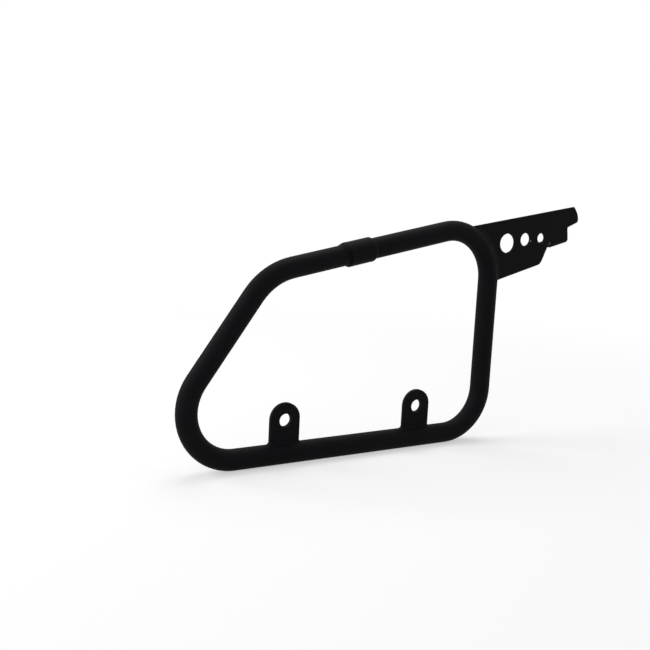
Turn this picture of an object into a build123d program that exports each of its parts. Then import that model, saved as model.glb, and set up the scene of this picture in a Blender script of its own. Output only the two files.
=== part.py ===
from build123d import *
import math
import os

# Side frame that holds a soft pannier away from a motorbike's rear wheel: a bent tube loop with a folded
# mounting bracket and two bolt lugs, welded together and coated. Millimetres, +Z up.
# +X runs along the bottom bar towards the bracket, and -Y faces outwards, away from the bike.
# The origin is midway between the two lug holes, in the middle plane of the loop.

# Tube loop, measured on the tube's centreline
TUBE_OD = 19.0
TUBE_WALL = 1.6
FRONT_REACH = 208.5  # origin to the front lower corner
REAR_REACH = 150.0  # origin to the rear run
LOOP_HEIGHT = 207.3  # bottom bar to the rear upper corner
STRUT_ANGLE = 54.4  # rise of the front strut, in degrees
TOP_SLOPE = 10.74  # rise of the top bar, in degrees
FRONT_LOWER_BEND = 45.4
REAR_LOWER_BEND = 42.0
REAR_UPPER_BEND = 47.5
FRONT_UPPER_BEND = 58.5

# Socket swaged into one end of the tube, which takes the other, plain end
SOCKET_MOUTH = 78.7  # front upper corner to the mouth
SOCKET_GRIP = 25.4  # parallel length
SOCKET_SHOULDER = 2.8  # cone back down to the tube's own size
SOCKET_WALL = 1.4  # thinner than the tube's, as it is stretched over a punch
SOCKET_CLEARANCE = 0.3  # all round the plain end
PLAIN_END_GAP = 1.0  # plain end to the foot of the shoulder
SOCKET_WELD_LENGTH = 4.8  # weld along the plain end
SOCKET_WELD_START = -175.0  # round the mouth from the top towards the outside, in degrees
SOCKET_WELD_STOP = 70.0  # the rest of the mouth, low on the outside, is left open

# Lugs on the bottom bar
LUG_SPACING = 143.0  # hole to hole
LUG_RISE = 30.5  # bottom bar to the holes
LUG_TOP = 15.7  # hole to the top of the lug
LUG_WIDTH = 29.3
LUG_THICKNESS = 4.0
LUG_HOLE = 12.0

# Mounting bracket, laid out from its first hole: along its top edge, and square to it
SHEET = 2.5
BRACKET_RISE = 8.8  # rise of the top edge, in degrees
BRACKET_OFFSET = 16.0  # outside of the bend to the first hole, along the top edge
EDGE_TO_HOLES = 23.0  # top edge to the first hole
HOLE_SIZES = (19.0, 13.0, 10.0)
HOLE_STEPS = (0.0, 23.5, 44.2)  # first hole to each hole, along the top edge
HOLE_DROPS = (0.0, 0.0, 1.9)  # each hole below the line of the first two
ROOT_DROP = 4.0  # end of the bend to the bottom edge, on the rear run
LOBE_REACH = 42.2
LOBE_DEPTH = 28.1
LOBE_ROUND = 8.0
TAB_EDGE = 80.8  # first hole to the upright edge over the foot
TONGUE_ROOT = 3.4  # first hole up to the tongue's root
TONGUE_ROOT_ROUND = 2.0
NOSE_TOP = 91.2  # first hole to the end of the top edge
SHOULDER_REACH = 96.4  # first hole to the shoulder of the nose, along the top edge
SHOULDER_RISE = 14.3  # first hole up to the shoulder
HEEL_REACH = 95.7  # first hole to the heel of the nose
HEEL_RISE = 6.8  # first hole up to the heel
NOSE_ROUND = 18.0
NOSE_TOP_ROUND = 1.0
NOSE_HEEL_ROUND = 3.0

# Foot folded inwards from the bracket's tab
FOOT_TURN = 5.0  # fold line against the top edge, in degrees
FOOT_FALL = 3.0  # fall of the foot below square, in degrees
FOOT_WIDTH = 22.2
FOOT_LENGTH = 27.0
FOOT_BEND = 3.0  # inside radius
FOOT_DROP = 11.0  # first hole down to the fold, at the tab's upright edge
FOOT_CORNER = 3.0
FOOT_HOLE = 9.0
FOOT_HOLE_REACH = 16.0  # fold to the hole
NOTCH_HEIGHT = 5.2  # top of the fold to the sharp tip of the relief notch
NOTCH_ROUND = 1.2

# Fillet welds and coated edges
WELD_LEG = 2.5
WELD_END = 1.4  # weld beyond each end of a lug
WELD_LAND = 0.2  # thickness of a weld at its edge
EDGE_BREAK = 0.4

SAME_LENGTH = 1e-6  # share by which two equal edges may differ
TUBE_RADIUS = TUBE_OD / 2
SOCKET_BORE_RADIUS = TUBE_RADIUS + SOCKET_CLEARANCE
SOCKET_RADIUS = SOCKET_BORE_RADIUS + SOCKET_WALL
BAR_Z = -LUG_RISE


def tube_half_width(offset):
    """Half the tube's height at a distance from its middle plane."""
    return math.sqrt(TUBE_RADIUS**2 - offset**2)


def direction(degrees):
    """Unit vector in the plane of the loop, by its rise from +X."""
    return Vector(math.cos(math.radians(degrees)), math.sin(math.radians(degrees)))


def in_loop_plane(point):
    """Place in space of a point given by its X and Z."""
    return Vector(point.X, 0, point.Y)


def save(piece, name):
    """Label a finished piece and write it out."""
    piece.part.label = name
    export_step(piece.part, f"parts/{name}.step")


os.makedirs("parts", exist_ok=True)

# Corners of the loop's centreline, where the runs would meet without their bends
strut_rise = math.tan(math.radians(STRUT_ANGLE))
top_rise = math.tan(math.radians(TOP_SLOPE))
front_upper_x = (LOOP_HEIGHT - REAR_REACH * top_rise - FRONT_REACH * strut_rise) / (strut_rise - top_rise)
front_lower = Vector(-FRONT_REACH, BAR_Z)
rear_lower = Vector(REAR_REACH, BAR_Z)
rear_upper = Vector(REAR_REACH, BAR_Z + LOOP_HEIGHT)
front_upper = Vector(front_upper_x, BAR_Z + (front_upper_x + FRONT_REACH) * strut_rise)

# Stations on the top bar, from the front upper corner
along_top = direction(TOP_SLOPE)
socket_foot = SOCKET_MOUTH + SOCKET_GRIP
socket_root = socket_foot + SOCKET_SHOULDER
plain_end = socket_foot - PLAIN_END_GAP
top_bar = Plane(in_loop_plane(front_upper), x_dir=in_loop_plane(along_top), z_dir=(0, -1, 0))
top_axis = Axis(top_bar.origin, top_bar.x_dir)

# Tube loop, from its plain end down the strut, along the bottom bar and back to the socket
with BuildPart() as tube_loop:
    with BuildLine() as loop_path:
        FilletPolyline(
            in_loop_plane(front_upper + along_top * plain_end),
            in_loop_plane(front_upper),
            in_loop_plane(front_lower),
            in_loop_plane(rear_lower),
            in_loop_plane(rear_upper),
            in_loop_plane(front_upper + along_top * socket_root),
            radius=[FRONT_UPPER_BEND, FRONT_LOWER_BEND, REAR_LOWER_BEND, REAR_UPPER_BEND],
        )
    tube_start = Plane(loop_path.line @ 0, z_dir=loop_path.line % 0)
    with BuildSketch(tube_start):
        Circle(TUBE_RADIUS)
        Circle(TUBE_RADIUS - TUBE_WALL, mode=Mode.SUBTRACT)
    sweep(path=loop_path.line)
    with BuildSketch(top_bar):
        with BuildLine():
            Polyline(
                (SOCKET_MOUTH, SOCKET_BORE_RADIUS),
                (SOCKET_MOUTH, SOCKET_RADIUS),
                (socket_foot, SOCKET_RADIUS),
                (socket_root, TUBE_RADIUS),
                (socket_root, TUBE_RADIUS - TUBE_WALL),
                (socket_foot, SOCKET_BORE_RADIUS),
                close=True,
            )
        make_face()
    revolve(axis=top_axis)
save(tube_loop, "tube_loop")

# The tube's outside as a solid bar, which copes everything that is welded to it
with BuildPart() as tube_envelope:
    with BuildSketch(tube_start):
        Circle(TUBE_RADIUS)
    sweep(path=loop_path.line)

# Weld between the plain end and the socket's mouth, most of the way round
with BuildPart() as socket_weld:
    with BuildSketch(Plane(top_bar.location * Rotation(SOCKET_WELD_START, 0, 0))):
        with BuildLine():
            Polyline(
                (SOCKET_MOUTH, TUBE_RADIUS),
                (SOCKET_MOUTH, SOCKET_RADIUS),
                (SOCKET_MOUTH - SOCKET_WELD_LENGTH, TUBE_RADIUS + WELD_LAND),
                (SOCKET_MOUTH - SOCKET_WELD_LENGTH, TUBE_RADIUS),
                close=True,
            )
        make_face()
    revolve(axis=top_axis, revolution_arc=SOCKET_WELD_STOP - SOCKET_WELD_START)
save(socket_weld, "socket_weld")

# Lugs, each with a fillet weld round its foot
lug_round_z = LUG_TOP - LUG_WIDTH / 2
weld_toe_z = BAR_Z + tube_half_width(LUG_THICKNESS / 2 + WELD_LEG)
weld_top_z = BAR_Z + tube_half_width(LUG_THICKNESS / 2) + WELD_LEG
weld_slope = math.degrees(math.atan((WELD_LEG - WELD_LAND) / (weld_top_z - weld_toe_z)))
for end, lug_x in (("front", -LUG_SPACING / 2), ("rear", LUG_SPACING / 2)):
    with BuildPart() as lug:
        with BuildSketch(Plane.XZ):
            with Locations((lug_x, BAR_Z)):
                Rectangle(LUG_WIDTH, lug_round_z - BAR_Z, align=(Align.CENTER, Align.MIN))
            with Locations((lug_x, lug_round_z)):
                Circle(LUG_WIDTH / 2)
        extrude(amount=LUG_THICKNESS / 2, both=True)
        chamfer(lug.faces().filter_by(Axis.Y).edges(), EDGE_BREAK)
        with BuildSketch(Plane.XZ):
            with Locations((lug_x, 0)):
                Circle(LUG_HOLE / 2)
        extrude(amount=LUG_THICKNESS, both=True, mode=Mode.SUBTRACT)
        add(tube_envelope.part, mode=Mode.SUBTRACT)
    save(lug, f"{end}_lug")
    with BuildPart() as lug_weld:
        with BuildSketch(Plane.XY.offset(weld_toe_z)):
            with Locations((lug_x, 0)):
                Rectangle(LUG_WIDTH + 2 * WELD_END, LUG_THICKNESS + 2 * WELD_LEG)
        extrude(amount=weld_top_z - weld_toe_z, taper=weld_slope)
        add(tube_envelope.part, mode=Mode.SUBTRACT)
        add(lug.part, mode=Mode.SUBTRACT)
    save(lug_weld, f"{end}_lug_weld")

# Bracket's own plane: its origin is the first hole, and the top edge touches the bend's centreline circle
upper_turn = 90 + TOP_SLOPE
bend_centre = rear_upper - Vector(REAR_UPPER_BEND, REAR_UPPER_BEND * math.tan(math.radians(upper_turn / 2)))
bend_axis = Axis(in_loop_plane(bend_centre), (0, -1, 0))
bend_outside = REAR_UPPER_BEND + TUBE_RADIUS
along_edge = direction(BRACKET_RISE)
square_to_edge = direction(BRACKET_RISE + 90)
first_hole = Vector(bend_outside + BRACKET_OFFSET, REAR_UPPER_BEND - EDGE_TO_HOLES)
bracket_origin = bend_centre + along_edge * first_hole.X + square_to_edge * first_hole.Y
bracket_plane = Plane(in_loop_plane(bracket_origin), x_dir=in_loop_plane(along_edge), z_dir=(0, -1, 0))

# Fold line, as points of the bracket's plane
along_fold = direction(FOOT_TURN)
up_tab = direction(FOOT_TURN + 90)
fold_radius = FOOT_BEND + SHEET / 2
fold_tangent = fold_radius * math.tan(math.radians((90 - FOOT_FALL) / 2))
tab_right = Vector(TAB_EDGE, fold_tangent / along_fold.X - FOOT_DROP)
tab_left = tab_right - along_fold * FOOT_WIDTH
notch_tip = tab_left + up_tab * NOTCH_HEIGHT

# Root corners, inside the tube
root_top = Vector(REAR_UPPER_BEND / 2 - first_hole.X, EDGE_TO_HOLES)
root_drop = bracket_plane.to_local_coords(Vector(REAR_REACH, 0, bend_centre.Y - ROOT_DROP))

foot_plane = Plane(
    bracket_plane.from_local_coords(tab_left),
    x_dir=(0, 1, 0),
    z_dir=in_loop_plane(direction(BRACKET_RISE + FOOT_TURN)),
)
flange = direction(-FOOT_FALL)
fold_corner = Vector(0, -fold_tangent)
foot_hole_at = fold_corner + flange * FOOT_HOLE_REACH + Vector(0, 0, FOOT_WIDTH / 2)
foot_normal = foot_plane.from_local_coords(direction(90 - FOOT_FALL)) - foot_plane.origin
foot_hole_plane = Plane(foot_plane.from_local_coords(foot_hole_at), x_dir=foot_plane.z_dir, z_dir=foot_normal)

with BuildPart() as mounting_bracket:
    with BuildSketch(bracket_plane):
        with BuildLine():
            FilletPolyline(
                root_top,
                (NOSE_TOP, EDGE_TO_HOLES),
                (SHOULDER_REACH, SHOULDER_RISE),
                (HEEL_REACH, HEEL_RISE),
                (TAB_EDGE, TONGUE_ROOT),
                tab_right,
                tab_left,
                notch_tip,
                (LOBE_REACH, -LOBE_DEPTH),
                root_drop,
                radius=[
                    NOSE_TOP_ROUND,
                    NOSE_ROUND,
                    NOSE_HEEL_ROUND,
                    TONGUE_ROOT_ROUND,
                    0,
                    0,
                    NOTCH_ROUND,
                    LOBE_ROUND,
                ],
            )
            Polyline(root_drop, -first_hole, root_top)
        make_face()
        with Locations(-first_hole):
            Circle(REAR_UPPER_BEND, mode=Mode.SUBTRACT)
    extrude(amount=SHEET / 2, both=True)
    with BuildSketch(foot_plane):
        with BuildLine():
            FilletPolyline((0, SHEET), fold_corner, fold_corner + flange * FOOT_LENGTH, radius=fold_radius)
        trace(line_width=SHEET)
    extrude(amount=FOOT_WIDTH)
    foot_end = mounting_bracket.faces().sort_by(Axis.Y)[-1]
    fillet(foot_end.edges().sort_by(SortBy.LENGTH)[:2], FOOT_CORNER)
    edges = mounting_bracket.edges()
    across_sheet = edges.filter_by(lambda edge: math.isclose(edge.length, SHEET, rel_tol=SAME_LENGTH))
    fold_lines = edges.filter_by(lambda edge: math.isclose(edge.length, FOOT_WIDTH, rel_tol=SAME_LENGTH))
    in_tube = edges.filter_by(lambda edge: (edge.center() - bend_axis.position).length < bend_outside)
    chamfer(edges - across_sheet - fold_lines - in_tube, EDGE_BREAK)
    with BuildSketch(bracket_plane):
        for size, step, drop in zip(HOLE_SIZES, HOLE_STEPS, HOLE_DROPS):
            with Locations((step, -drop)):
                Circle(size / 2)
    extrude(amount=SHEET, both=True, mode=Mode.SUBTRACT)
    with BuildSketch(foot_hole_plane):
        Circle(FOOT_HOLE / 2)
    extrude(amount=SHEET, both=True, mode=Mode.SUBTRACT)
    add(tube_envelope.part, mode=Mode.SUBTRACT)
save(mounting_bracket, "mounting_bracket")

# Fillet welds along both sides of the bracket's root, from the end of the bend up to the top edge
seam = REAR_UPPER_BEND + tube_half_width(SHEET / 2)
toe = REAR_UPPER_BEND + tube_half_width(SHEET / 2 + WELD_LEG)
root_sweep = BRACKET_RISE + math.degrees(math.asin(REAR_UPPER_BEND / bend_outside))
weld_stop = math.degrees(WELD_LEG / bend_outside)
for face, side in (("outer", -1), ("inner", 1)):
    with BuildPart() as bracket_weld:
        with BuildSketch(Plane(bend_axis.position)):
            with BuildLine():
                Polyline(
                    (REAR_UPPER_BEND, side * SHEET / 2),
                    (seam + WELD_LEG, side * SHEET / 2),
                    (toe, side * (SHEET / 2 + WELD_LEG)),
                    (REAR_UPPER_BEND, side * (SHEET / 2 + WELD_LEG)),
                    close=True,
                )
            make_face()
        revolve(axis=bend_axis, revolution_arc=root_sweep - weld_stop)
        add(tube_envelope.part, mode=Mode.SUBTRACT)
    save(bracket_weld, f"bracket_weld_{face}")
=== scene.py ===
import math

import bpy
from mathutils import Euler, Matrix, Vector, noise


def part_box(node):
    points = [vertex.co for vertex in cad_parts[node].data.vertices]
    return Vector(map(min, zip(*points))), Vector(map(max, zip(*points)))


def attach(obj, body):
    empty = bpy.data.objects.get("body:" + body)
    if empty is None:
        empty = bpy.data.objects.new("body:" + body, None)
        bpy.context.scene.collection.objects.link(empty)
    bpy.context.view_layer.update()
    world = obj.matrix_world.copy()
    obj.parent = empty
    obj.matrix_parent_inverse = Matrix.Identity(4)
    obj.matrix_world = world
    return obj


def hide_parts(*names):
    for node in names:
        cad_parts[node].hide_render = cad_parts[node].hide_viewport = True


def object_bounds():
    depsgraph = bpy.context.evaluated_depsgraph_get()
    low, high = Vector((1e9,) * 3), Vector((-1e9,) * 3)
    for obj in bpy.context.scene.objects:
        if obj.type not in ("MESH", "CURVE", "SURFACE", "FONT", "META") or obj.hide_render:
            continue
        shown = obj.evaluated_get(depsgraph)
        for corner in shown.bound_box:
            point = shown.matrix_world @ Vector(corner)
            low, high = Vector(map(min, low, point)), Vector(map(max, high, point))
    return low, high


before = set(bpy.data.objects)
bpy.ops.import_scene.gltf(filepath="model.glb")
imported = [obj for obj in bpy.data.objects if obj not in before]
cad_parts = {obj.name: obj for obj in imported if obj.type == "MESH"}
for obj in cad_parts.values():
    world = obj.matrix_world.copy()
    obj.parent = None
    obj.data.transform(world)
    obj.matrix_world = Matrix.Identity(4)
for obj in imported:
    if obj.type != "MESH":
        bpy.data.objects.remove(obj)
cad_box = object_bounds()

# A black pannier frame: a bent steel tube with lugs and a sheet bracket welded on, powder coated all over.
# The coat and the weld beads are made here. Metres, +Z up, in the part's own frame.

MM = 0.001
X = Vector((1, 0, 0))
Y = Vector((0, 1, 0))
Z = Vector((0, 0, 1))

# The tube and the seams on it
TUBE_RADIUS = 9.5 * MM
UPPER_BEND_RADIUS = 47.5 * MM
TOP_BAR_SLOPE = math.radians(10.74)
CAD_WELD_LEG = 2.5 * MM

# The coat
COAT_BLACKS = ("#0b0a0c", "#111013")
COAT_ROUGHNESS = (0.5, 0.72)  # at the low and the high spots of the grain
COAT_SPECULAR = 0.04  # low, because the whole white studio mirrors in the coat
PEEL_SIZE = 2.6 * MM
PEEL_HEIGHT = 0.06 * MM
PEEL_STRENGTH = 0.25
GRAIN_SIZE = 0.8 * MM  # coarser than a real coat's, which is too fine to show
GRAIN_HEIGHT = 0.04 * MM
GRAIN_STRENGTH = 0.35
DRIFT_SIZE = 22 * MM
EDGE_ROUND = 0.6 * MM
TUBE_EDGE_ROUND = 2.0 * MM  # softens the socket's shoulder

# The chip in the coat, on the bracket's outer face
CHIP_PLACE = Vector((200.8, -1.25, 156.8)) * MM
CHIP_RADIUS = 0.6 * MM
CHIP_RAGGED = 0.9 * MM  # spread of its edge, half inwards and half outwards
CHIP_BLUR = 0.1 * MM
BARE_STEEL = "#8f8c88"

# Fillet welds with a hollow face
LUG_BEAD_LEG = 1.9 * MM
ROOT_BEAD_ON_PLATE = 4.6 * MM
ROOT_BEAD_ON_TUBE = 3.2 * MM
BEAD_SINK = 0.05 * MM  # the bead's edges, under the faces that it joins
BEAD_STEP = 0.3 * MM  # between the outlines along a bead
BEAD_END = 2.2 * MM  # the round end of a bead
BEAD_TIP = 0.02  # share of the round end at its very tip, so that it doesn't shrink to a point
SAME_PLACE = 0.001 * MM  # vertices closer than this are one
FACE_STEPS = 12
FACE_HOLLOW = 0.7  # from a flat face, 0, to a quarter round, 1
ROOT_BEAD_START = -1.2 * MM  # along the bend, from the bracket's lower edge
ROOT_BEAD_STOP = 2.5 * MM  # before the bracket's upper edge

# The ripples on a bead, and how it varies along its length
RIPPLE_PITCH = 1.75 * MM
RIPPLE_HEIGHT = 0.12 * MM
RIPPLE_LEAD = 0.9 * MM  # how far the middle of a ripple runs ahead of its ends
RIPPLE_WAVER = 0.5 * MM
SWELL = 0.05 * MM
SWELL_LENGTH = 6 * MM
EDGE_WAVER = 0.2  # how much a bead widens and narrows
WAVER_ROW, SWELL_ROW, EDGE_ROW = 0, 5, 9  # rows of one noise, far enough apart to differ

# The weld round the socket's mouth: a ramp from the plain end up over the rim
RAMP_ON_TOP = 7.0 * MM
RAMP_BELOW = 2.2 * MM
RIM_LAP = 1.1 * MM
RIM_CAP = 0.1 * MM  # height of the bead over the rim
SOCKET_WELD_START = math.radians(-175)  # from the top towards the outside
SOCKET_WELD_STOP = math.radians(70)

# The camera
CAMERA_PLACE = Vector((-493.8, -737.1, 232.5)) * MM
CAMERA_TURN = Euler([math.radians(degrees) for degrees in (80.229, -2.803, -31.448)])
CAMERA_LENS = 55.07

# The floor and the lights
FLOOR_SIZE = 12.0
FLOOR_FADE_START = 0.3
FLOOR_FADE_END = 0.95
FLOOR_WHITE_NEAR = 0.5  # share of plain white before the fade, where the shadow lies
PAPER_WHITE = "#f4f4f4"
AMBIENT = 0.28
SOFTBOX_WIDTH = 1.2
SOFTBOXES = [
    # place, watts
    (Vector((0.3, 0.5, 1.6)), 15.0),
    (Vector((-1.5, 0.9, 1.0)), 24.0),
    (Vector((-1.5, -1.1, 1.2)), 9.0),
    (Vector((1.5, -0.9, 1.1)), 3.0),
]


# Small helpers

def linear(hex_colour):
    """An sRGB hex colour as linear RGBA."""
    channels = [int(hex_colour[start:start + 2], 16) / 255 for start in (1, 3, 5)]
    return [c / 12.92 if c <= 0.04045 else ((c + 0.055) / 1.055) ** 2.4 for c in channels] + [1]


def add(tree, kind, inputs, **settings):
    """Adds a node with its settings. An input is a value, or the output of another node."""
    node = tree.nodes.new("ShaderNode" + kind)
    for name, value in settings.items():
        setattr(node, name, value)
    for name, value in inputs.items():
        if isinstance(value, bpy.types.NodeSocket):
            tree.links.new(value, node.inputs[name])
        else:
            node.inputs[name].default_value = value
    return node


def new_material(name):
    """An empty material, and its node tree."""
    material = bpy.data.materials.new(name)
    material.use_nodes = True
    material.node_tree.nodes.clear()
    return material, material.node_tree


def deselect():
    bpy.ops.object.select_all(action="DESELECT")


# Materials

def mottle(tree, place, size, detail):
    """A noise whose spots are about this size."""
    return add(tree, "TexNoise", {"Vector": place, "Scale": 1 / size, "Detail": detail}).outputs["Fac"]


def chip_in_coat(tree, place, grain):
    """1 where the coat is chipped off, with a ragged edge, and 0 elsewhere."""
    ragged = add(tree, "Math", {0: grain, 1: CHIP_RAGGED, 2: -CHIP_RAGGED / 2}, operation="MULTIPLY_ADD")
    from_chip = add(tree, "VectorMath", {0: place, 1: CHIP_PLACE}, operation="DISTANCE")
    reach = add(tree, "Math", {0: from_chip.outputs["Value"], 1: ragged.outputs["Value"]}, operation="ADD")
    return add(tree, "MapRange", {
        "Value": reach.outputs["Value"],
        "From Min": CHIP_RADIUS + CHIP_BLUR,
        "From Max": CHIP_RADIUS - CHIP_BLUR,
    }).outputs["Result"]


def powder_coat(name, edge_round):
    """Satin black polyester powder coat, sprayed on dry and baked: a soft even sheen over a faint orange
    peel, a fine grain where the powder didn't flow out, slow drifts between two blacks, and every edge
    rounded off. One chip beside the middle hole is down to the steel."""
    material, tree = new_material(name)
    place = add(tree, "TexCoord", {}).outputs["Object"]
    peel = mottle(tree, place, PEEL_SIZE, detail=1)
    grain = mottle(tree, place, GRAIN_SIZE, detail=2)
    drift = mottle(tree, place, DRIFT_SIZE, detail=3)
    chip = chip_in_coat(tree, place, grain)

    dark, light = [linear(black) for black in COAT_BLACKS]
    black = add(tree, "Mix", {"Factor": drift, 6: dark, 7: light}, data_type="RGBA")
    colour = add(tree, "Mix", {"Factor": chip, 6: black.outputs[2], 7: linear(BARE_STEEL)}, data_type="RGBA")
    smoothest, roughest = COAT_ROUGHNESS
    rough = add(tree, "MapRange", {"Value": grain, "To Min": smoothest, "To Max": roughest})
    rounded = add(tree, "Bevel", {"Radius": edge_round}, samples=6).outputs["Normal"]
    peel_bump = add(tree, "Bump", {
        "Height": peel, "Strength": PEEL_STRENGTH, "Distance": PEEL_HEIGHT, "Normal": rounded,
    }).outputs["Normal"]
    grain_bump = add(tree, "Bump", {
        "Height": grain, "Strength": GRAIN_STRENGTH, "Distance": GRAIN_HEIGHT, "Normal": peel_bump,
    }).outputs["Normal"]
    coat = add(tree, "BsdfPrincipled", {
        "Base Color": colour.outputs[2],
        "Metallic": chip,
        "Roughness": rough.outputs["Result"],
        "Normal": grain_bump,
        "Specular IOR Level": COAT_SPECULAR,
    })
    add(tree, "OutputMaterial", {"Surface": coat.outputs["BSDF"]})
    return material


def sees_background(tree):
    """1 for the rays that see the plain white background: the camera's, and mirrored and refracted ones."""
    ray = add(tree, "LightPath", {}).outputs
    mirrored = add(tree, "Math", {0: ray["Is Camera Ray"], 1: ray["Is Glossy Ray"]}, operation="MAXIMUM")
    return add(tree, "Math", {
        0: mirrored.outputs["Value"], 1: ray["Is Transmission Ray"],
    }, operation="MAXIMUM").outputs["Value"]


def studio_floor():
    """Matt white paper, which the camera sees go over into plain white away from the object."""
    material, tree = new_material("white_paper_floor")
    place = add(tree, "TexCoord", {}).outputs["Object"]
    reach = add(tree, "VectorMath", {0: place}, operation="LENGTH").outputs["Value"]
    fade = add(tree, "MapRange", {
        "Value": reach, "From Min": FLOOR_FADE_START, "From Max": FLOOR_FADE_END, "To Min": FLOOR_WHITE_NEAR,
    }, interpolation_type="SMOOTHSTEP").outputs["Result"]
    share = add(tree, "Math", {0: fade, 1: sees_background(tree)}, operation="MULTIPLY").outputs["Value"]
    paper = add(tree, "BsdfDiffuse", {"Color": linear(PAPER_WHITE)})
    white = add(tree, "Emission", {"Strength": 1.0})
    mix = add(tree, "MixShader", {0: share, 1: paper.outputs["BSDF"], 2: white.outputs["Emission"]})
    add(tree, "OutputMaterial", {"Surface": mix.outputs["Shader"]})
    return material


# Weld beads

def bead_outline(name, points):
    """Starts a bead: a closed ring of edges through the points of its outline, selected in edit mode."""
    deselect()
    bpy.ops.mesh.primitive_circle_add(vertices=len(points))
    bead = bpy.context.object
    bead.name = name
    for vertex, point in zip(bead.data.vertices, points):
        vertex.co = point
    bpy.ops.object.mode_set(mode="EDIT")
    bpy.ops.mesh.select_all(action="SELECT")
    return bead


def fillet_outline(name, root, side, up):
    """The outline of a fillet weld: a hollow face between its two legs, and the root behind it."""
    points = [root]
    for step in range(FACE_STEPS + 1):
        share = step / FACE_STEPS
        turn = math.pi / 2 * share
        out = share + FACE_HOLLOW * (1 - math.cos(turn) - share)
        rise = 1 - share + FACE_HOLLOW * (share - math.sin(turn))
        points.append(root + side * out + up * rise)
    return bead_outline(name, points)


def draw_along(run):
    """Draws the selected outline straight along a seam."""
    steps = round(run.length / BEAD_STEP)
    bpy.ops.mesh.extrude_repeat(steps=steps, offset=run / steps)


def draw_round(centre, axis, angle, radius):
    """Draws the selected outline round a curved seam. Spin turns against the axis."""
    bpy.ops.mesh.spin(steps=round(angle * radius / BEAD_STEP), angle=-angle, center=centre, axis=axis)


def finish_bead(bead, node, settle):
    """Closes a drawn bead, moves its vertices by what settle gives, and puts it in place of a weld node."""
    bpy.ops.mesh.select_all(action="SELECT")
    bpy.ops.mesh.remove_doubles(threshold=SAME_PLACE)
    bpy.ops.mesh.fill_holes(sides=0)
    bpy.ops.mesh.normals_make_consistent(inside=False)
    bpy.ops.object.mode_set(mode="OBJECT")
    for vertex in bead.data.vertices:
        vertex.co += settle(vertex.co)
    bpy.ops.object.shade_smooth()
    bead.data.materials.append(coat_on_welds)
    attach(bead, "root")
    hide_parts(node)


def tube_fall(offset):
    """How far the tube's surface falls away at a distance from its middle plane."""
    return TUBE_RADIUS - math.sqrt(TUBE_RADIUS ** 2 - offset ** 2)


def slow_change(along, row):
    """A slow, uneven change along a bead, either way from 0."""
    return noise.noise(Vector((along / SWELL_LENGTH, row, 0)))


def ripple(along, middle):
    """How far a bead stands out at a place along it. Middle is 1 on its crest and 0 at its edges."""
    waver = RIPPLE_WAVER * slow_change(along, WAVER_ROW)
    wave = abs(math.sin(math.pi * (along + waver - RIPPLE_LEAD * middle) / RIPPLE_PITCH))
    return middle * (RIPPLE_HEIGHT * wave + SWELL * slow_change(along, SWELL_ROW))


def edge_waver(along):
    """How wide a bead is at a place along it, against its full size."""
    return 1 + EDGE_WAVER * slow_change(along, EDGE_ROW)


def fillet_ripple(along, side, up):
    """How far a fillet weld's face stands out. Side and up are shares of the legs, from the root."""
    return ripple(along, 2 * (1 - side) * (1 - up))


def end_round(along, length):
    """How much of its full size a bead has at a place along it: it is rounded off at both ends."""
    inside = min(1, max(BEAD_TIP, min(along, length - along) / BEAD_END))
    return math.sqrt(1 - (1 - inside) ** 2)


def lug_bead(lug):
    """The weld right round a lug's foot, where it stands on the bottom bar."""
    low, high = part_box(lug)
    crown = low.z + tube_fall(low.y)
    sink = Vector((BEAD_SINK, BEAD_SINK, 0))
    low, high = low + sink, high - sink
    corners = [(high.x, low.y), (high.x, high.y), (low.x, high.y), (low.x, low.y)]
    root = Vector((low.x, low.y, crown - BEAD_SINK))
    bead = fillet_outline(lug + "_bead", root, -Y * LUG_BEAD_LEG, Z * LUG_BEAD_LEG)
    for x, y in corners:
        corner = Vector((x, y, root.z))
        draw_along(corner - root)
        draw_round(corner, Z, math.pi / 2, LUG_BEAD_LEG)
        root = corner

    def settle(co):
        foot = Vector((min(max(co.x, low.x), high.x), min(max(co.y, low.y), high.y), root.z))
        up = co.z - root.z
        away = co - foot - Z * up
        along = co.x + co.y
        stand = fillet_ripple(along, away.length / LUG_BEAD_LEG, up / LUG_BEAD_LEG)
        lift = (away.normalized() + Z) * stand
        settled = foot + (co - foot) * edge_waver(along) + lift
        return settled - Z * tube_fall(settled.y) - co

    finish_bead(bead, lug + "_weld", settle)


def bracket_bead(name, node, side):
    """The weld along one side of the bracket's root, round the outside of the rear upper bend."""
    low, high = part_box(node)
    sheet_face = low.y if side > 0 else high.y
    crown = UPPER_BEND_RADIUS + TUBE_RADIUS
    reach = crown - tube_fall(sheet_face) + CAD_WELD_LEG
    bend_centre = Vector((high.x - reach, 0, low.z))
    start = ROOT_BEAD_START / crown
    sweep = math.asin((high.z - low.z) / reach) - ROOT_BEAD_STOP / crown - start
    spoke_at_start = X * math.cos(start) + Z * math.sin(start)
    root = Vector((crown, sheet_face, 0)) - BEAD_SINK * (X + Y * side)
    start_root = bend_centre + spoke_at_start * root.x + Y * root.y
    bead = fillet_outline(
        name, start_root, Y * side * ROOT_BEAD_ON_TUBE, spoke_at_start * ROOT_BEAD_ON_PLATE,
    )
    draw_round(bend_centre, -Y, sweep, crown)

    def settle(co):
        spoke = co - bend_centre
        across = spoke.y - root.y
        spoke.y = 0
        up = spoke.length - root.x
        outwards = spoke.normalized()
        along = (math.atan2(spoke.z, spoke.x) - start) * crown
        size = end_round(along, sweep * crown) * edge_waver(along)
        drawn_in = (outwards * up + Y * across) * (size - 1)
        stand = fillet_ripple(along, abs(across) / ROOT_BEAD_ON_TUBE, up / ROOT_BEAD_ON_PLATE)
        lift = (outwards + Y * side) * size * stand
        return drawn_in + lift - outwards * tube_fall(root.y + across * size)

    finish_bead(bead, node, settle)


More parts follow.
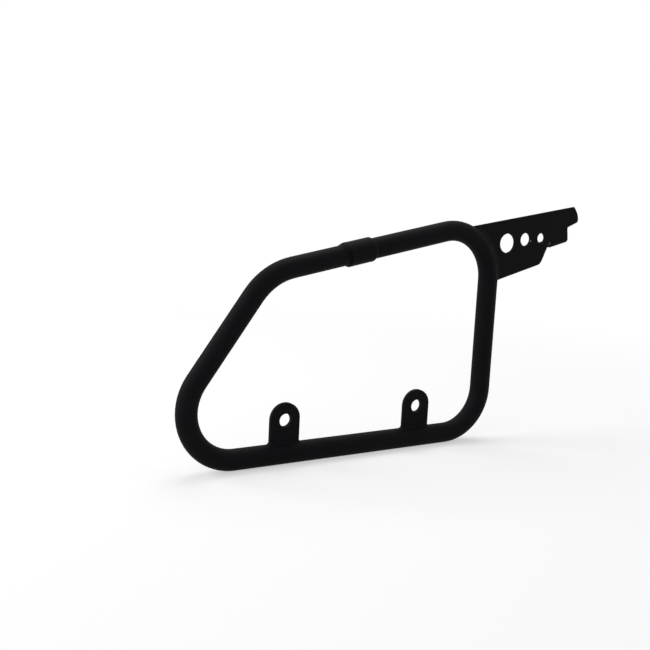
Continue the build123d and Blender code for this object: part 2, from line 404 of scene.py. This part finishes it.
def socket_bead():
    """The weld round the socket's mouth. It was laid from above, so it reaches furthest on top, and low on
    the outside the mouth was left open."""
    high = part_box("socket_weld")[1]
    along_bar = X * math.cos(TOP_BAR_SLOPE) + Z * math.sin(TOP_BAR_SLOPE)
    over_bar = Z * math.cos(TOP_BAR_SLOPE) - X * math.sin(TOP_BAR_SLOPE)
    rim_radius = high.y
    rim = rim_radius - TUBE_RADIUS
    mouth = Vector((
        high.x - rim_radius * math.sin(TOP_BAR_SLOPE), 0, high.z - rim_radius * math.cos(TOP_BAR_SLOPE),
    ))
    start = over_bar * math.cos(SOCKET_WELD_START) - Y * math.sin(SOCKET_WELD_START)

    def at(station, height):
        return mouth + along_bar * station + start * (TUBE_RADIUS + height)

    points = [at(RIM_LAP, rim / 2), at(-RAMP_ON_TOP, -rim / 2)]
    for step in range(FACE_STEPS + 1):
        share = step / FACE_STEPS
        # Half an S-curve and half a straight ramp
        climb = share * share * (3 - 2 * share) / 2 + share / 2
        points.append(at(-RAMP_ON_TOP * (1 - share), climb * (rim + RIM_CAP) - BEAD_SINK * (1 - climb)))
    points.append(at(RIM_LAP / 2, rim + RIM_CAP))
    points.append(at(RIM_LAP, rim - BEAD_SINK))
    bead = bead_outline("socket_bead", points)
    sweep = SOCKET_WELD_STOP - SOCKET_WELD_START
    draw_round(mouth, along_bar, sweep, rim_radius)

    def settle(co):
        station = (co - mouth).dot(along_bar)
        spoke = co - mouth - along_bar * station
        outwards = spoke.normalized()
        angle = math.atan2(-spoke.y, spoke.dot(over_bar))
        along = (angle - SOCKET_WELD_START) * TUBE_RADIUS
        size = end_round(along, sweep * TUBE_RADIUS)
        ramp = RAMP_BELOW + (RAMP_ON_TOP - RAMP_BELOW) * (1 + math.cos(angle)) / 2
        middle = math.sin(math.pi * (station + RAMP_ON_TOP) / (RAMP_ON_TOP + RIM_LAP))
        lift = ripple(along, middle) * size + (spoke.length - TUBE_RADIUS) * (size - 1)
        reach = ramp * size * edge_waver(along) / RAMP_ON_TOP
        return outwards * lift + along_bar * min(station, 0) * (reach - 1)

    finish_bead(bead, "socket_weld", settle)


# The object

coat = powder_coat("satin_black_powder_coat", EDGE_ROUND)
coat_on_tube = powder_coat("satin_black_powder_coat_on_tube", TUBE_EDGE_ROUND)
coat_on_welds = powder_coat("satin_black_powder_coat_on_welds", edge_round=0)
for name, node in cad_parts.items():
    node.data.materials.clear()
    node.data.materials.append(coat_on_tube if name == "tube_loop" else coat)

lug_bead("front_lug")
lug_bead("rear_lug")
bracket_bead("bracket_bead_outer", "bracket_weld_outer", side=-1)
bracket_bead("bracket_bead_inner", "bracket_weld_inner", side=1)
socket_bead()

# The studio

deselect()
bpy.ops.mesh.primitive_plane_add(size=FLOOR_SIZE, location=(0, 0, cad_box[0].z))
floor = bpy.context.object
floor.name = "floor"
bpy.ops.object.transform_apply(location=True)
floor.data.materials.append(studio_floor())

for number, (place, watts) in enumerate(SOFTBOXES):
    lamp = bpy.data.lights.new(f"softbox_{number}", "AREA")
    lamp.size = SOFTBOX_WIDTH
    lamp.energy = watts
    softbox = bpy.data.objects.new(lamp.name, lamp)
    softbox.location = place
    softbox.rotation_euler = (-place).to_track_quat("-Z", "Y").to_euler()
    bpy.context.scene.collection.objects.link(softbox)

world = bpy.data.worlds.new("white_studio")
world.use_nodes = True
bpy.context.scene.world = world
sky = world.node_tree
sky.nodes.clear()
level = add(sky, "MapRange", {"Value": sees_background(sky), "To Min": AMBIENT, "To Max": 1.0})
white = add(sky, "Background", {"Color": (1, 1, 1, 1), "Strength": level.outputs["Result"]})
add(sky, "OutputWorld", {"Surface": white.outputs["Background"]})

camera = bpy.data.objects.new("camera", bpy.data.cameras.new("camera"))
camera.data.lens = CAMERA_LENS
camera.location = CAMERA_PLACE
camera.rotation_euler = CAMERA_TURN
bpy.context.scene.collection.objects.link(camera)
bpy.context.scene.camera = camera

bpy.context.scene.view_settings.view_transform = "Standard"
